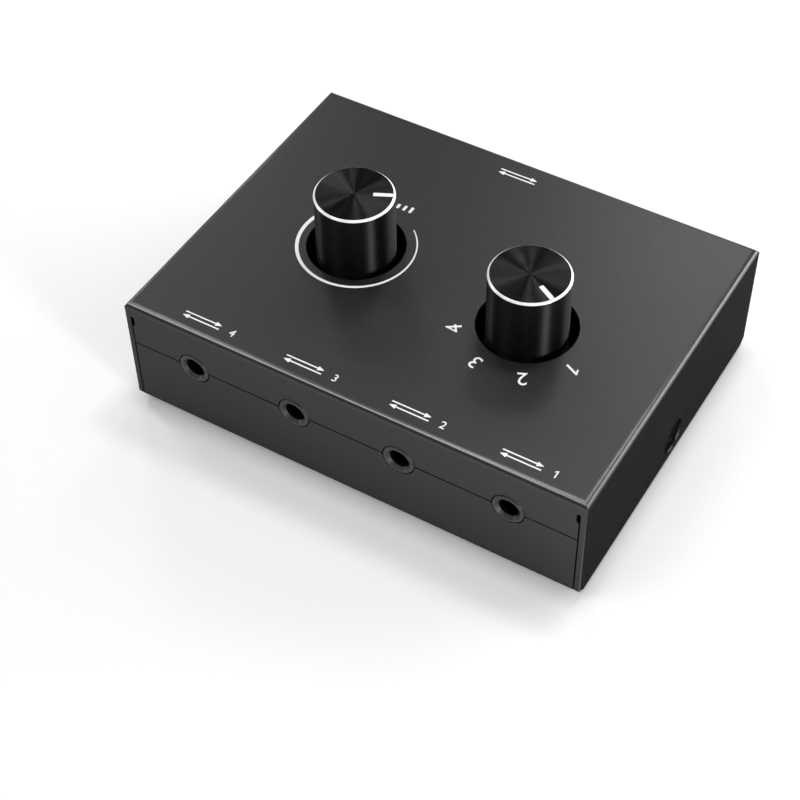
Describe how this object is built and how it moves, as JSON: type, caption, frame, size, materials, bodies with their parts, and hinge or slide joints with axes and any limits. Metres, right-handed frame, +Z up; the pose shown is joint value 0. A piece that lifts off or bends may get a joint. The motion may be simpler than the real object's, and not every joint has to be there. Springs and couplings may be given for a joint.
{
  "type": "audio source selector",
  "caption": "Flat folded-steel box with a row of 3.5 mm sockets on one long face, a common socket opposite, and a volume knob and a selector knob on top.",
  "frame": {"origin": "on the table under the middle of the case", "axes": "+X along the row of four sockets, -Y towards that row, +Z up"},
  "size_m": [0.1, 0.0754, 0.041],
  "materials": {
    "cover_paint": "fine satin powder coat",
    "tray_paint": "fine satin powder coat",
    "black_screw": "blackened steel",
    "rubber": "matt",
    "board": "black solder mask",
    "brass": "turned",
    "zinc": "zinc plated",
    "socket_plastic": "moulded",
    "contact_metal": "tinned",
    "phenolic": "moulded",
    "wafer": "phenolic paper",
    "rotor_plastic": "moulded",
    "bare_aluminium": "turned",
    "core_plastic": "moulded",
    "knob_anodised": "black anodised, spun top, bright cut chamfer",
    "white_fill": "paint filled"
  },
  "bodies": {
    "case": {"top_cover": "cover_paint", "bottom_tray": "tray_paint", "side_screws": "black_screw", "foot_front_left": "rubber", "foot_front_right": "rubber", "foot_rear_left": "rubber", "foot_rear_right": "rubber", "circuit_board": "board", "board_standoffs": "brass", "board_screws": "zinc", "input_socket_1": "socket_plastic", "input_socket_2": "socket_plastic", "input_socket_3": "socket_plastic", "input_socket_4": "socket_plastic", "common_socket": "socket_plastic", "socket_contacts_1": "contact_metal", "socket_contacts_2": "contact_metal", "socket_contacts_3": "contact_metal", "socket_contacts_4": "contact_metal", "common_contacts": "contact_metal", "volume_base": "phenolic", "volume_terminals": "contact_metal", "volume_wafer_lower": "wafer", "volume_wafer_upper": "wafer", "volume_cover": "zinc", "selector_base": "phenolic", "selector_terminals": "contact_metal", "selector_can": "zinc", "selector_stop_washer": "zinc", "selector_nut": "zinc"},
    "volume_control": {"volume_rotor": "rotor_plastic", "volume_wipers": "brass", "volume_shaft": "bare_aluminium", "volume_knob_core": "core_plastic", "volume_knob": "knob_anodised", "volume_pointer": "white_fill"},
    "selector_control": {"selector_rotor": "rotor_plastic", "selector_bridges": "brass", "selector_detent_ball": "zinc", "selector_detent_spring": "zinc", "selector_shaft": "bare_aluminium", "selector_knob_core": "core_plastic", "selector_knob": "knob_anodised", "selector_pointer": "white_fill"}
  },
  "joints": [
    {"name": "volume_turn", "type": "hinge", "parent": "case", "child": "volume_control", "pos_m": [-0.0196, -0.0012, 0.03], "axis": [0, 0, 1], "range_deg": [-256, 24]},
    {"name": "selector_turn", "type": "hinge", "parent": "case", "child": "selector_control", "pos_m": [0.0201, -0.0038, 0.03], "axis": [0, 0, 1], "range_deg": [-120, 0]}
  ]
}
